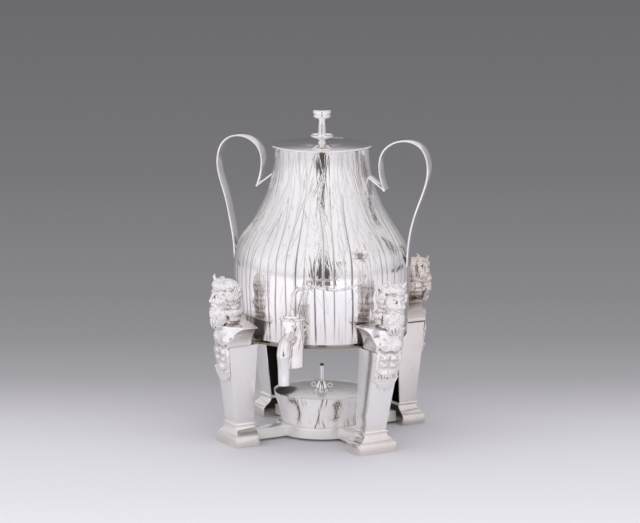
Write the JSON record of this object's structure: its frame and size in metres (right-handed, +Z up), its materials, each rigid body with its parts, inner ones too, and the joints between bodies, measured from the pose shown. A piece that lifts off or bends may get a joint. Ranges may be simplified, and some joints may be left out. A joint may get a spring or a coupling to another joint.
{
  "type": "spirit kettle on stand",
  "caption": "Tree-trunk shaped silver hot-water kettle with a hinged lid, strap handles and a log tap, on a stand of bearded herm legs with a spirit burner in its pan.",
  "frame": {"origin": "on the table plane, on the axis of the kettle's body", "axes": "+Z up, -Y towards the tap, +X to the right when the tap points at the viewer"},
  "size_m": [0.2329, 0.2757, 0.3499],
  "materials": {
    "silver_sheet": "polished, finely engraved",
    "silver_cast": "cast and chased, darkened in the hollows",
    "wick_cotton": "woven cotton, charred at the tip"
  },
  "bodies": {
    "stand": {"stand_pan": "silver_sheet", "stand_seat_ring": "silver_sheet", "stand_arm_front_left": "silver_sheet", "stand_arm_front_right": "silver_sheet", "stand_arm_back_right": "silver_sheet", "stand_arm_back_left": "silver_sheet", "leg_front_left_plinth": "silver_sheet", "leg_front_left_pillar": "silver_sheet", "leg_front_left_bust": "silver_cast", "leg_front_left_head": "silver_cast", "leg_front_right_plinth": "silver_sheet", "leg_front_right_pillar": "silver_sheet", "leg_front_right_bust": "silver_cast", "leg_front_right_head": "silver_cast", "leg_back_right_plinth": "silver_sheet", "leg_back_right_pillar": "silver_sheet", "leg_back_right_bust": "silver_cast", "leg_back_right_head": "silver_cast", "leg_back_left_plinth": "silver_sheet", "leg_back_left_pillar": "silver_sheet", "leg_back_left_bust": "silver_cast", "leg_back_left_head": "silver_cast"},
    "kettle": {"kettle_body_lower": "silver_sheet", "kettle_body_upper": "silver_sheet", "kettle_bottom": "silver_sheet", "kettle_foot_rim": "silver_sheet", "kettle_handle_left": "silver_sheet", "kettle_handle_right": "silver_sheet", "kettle_hinge_bracket": "silver_sheet", "kettle_hinge_pin": "silver_sheet", "tap_flange": "silver_cast", "tap_inlet": "silver_cast", "tap_barrel": "silver_cast", "tap_spout": "silver_cast"},
    "lid": {"lid_plate": "silver_sheet", "lid_flange": "silver_sheet", "lid_hinge_leaf": "silver_sheet", "finial_saucer": "silver_sheet", "finial_stem": "silver_sheet", "finial_cap": "silver_sheet", "finial_washer": "silver_sheet", "finial_nut": "silver_sheet"},
    "tap_key": {"tap_plug": "silver_sheet", "tap_twig": "silver_cast", "tap_flower": "silver_cast", "tap_washer": "silver_sheet", "tap_nut": "silver_sheet"},
    "burner": {"burner_bowl": "silver_sheet", "burner_top": "silver_sheet", "burner_neck": "silver_sheet"},
    "wick_holder": {"wick_collar": "silver_sheet", "wick_tube": "silver_sheet", "wick": "wick_cotton"}
  },
  "joints": [
    {"name": "kettle_lift", "type": "slide", "parent": "stand", "child": "kettle", "axis": [0, 0, 1], "range_m": [0, 0.08]},
    {"name": "lid_hinge", "type": "hinge", "parent": "kettle", "child": "lid", "pos_m": [0, 0.0561, 0.311], "axis": [-1, 0, 0], "range_deg": [0, 110]},
    {"name": "tap_turn", "type": "hinge", "parent": "kettle", "child": "tap_key", "pos_m": [0, -0.1215, 0.131], "axis": [0, 0, 1], "range_deg": [-90, 0]},
    {"name": "burner_lift", "type": "slide", "parent": "stand", "child": "burner", "axis": [0, 0, 1], "range_m": [0, 0.03]},
    {"name": "wick_holder_turn", "type": "hinge", "parent": "burner", "child": "wick_holder", "pos_m": [0, 0, 0.0506], "axis": [0, 0, 1], "continuous": true}
  ]
}
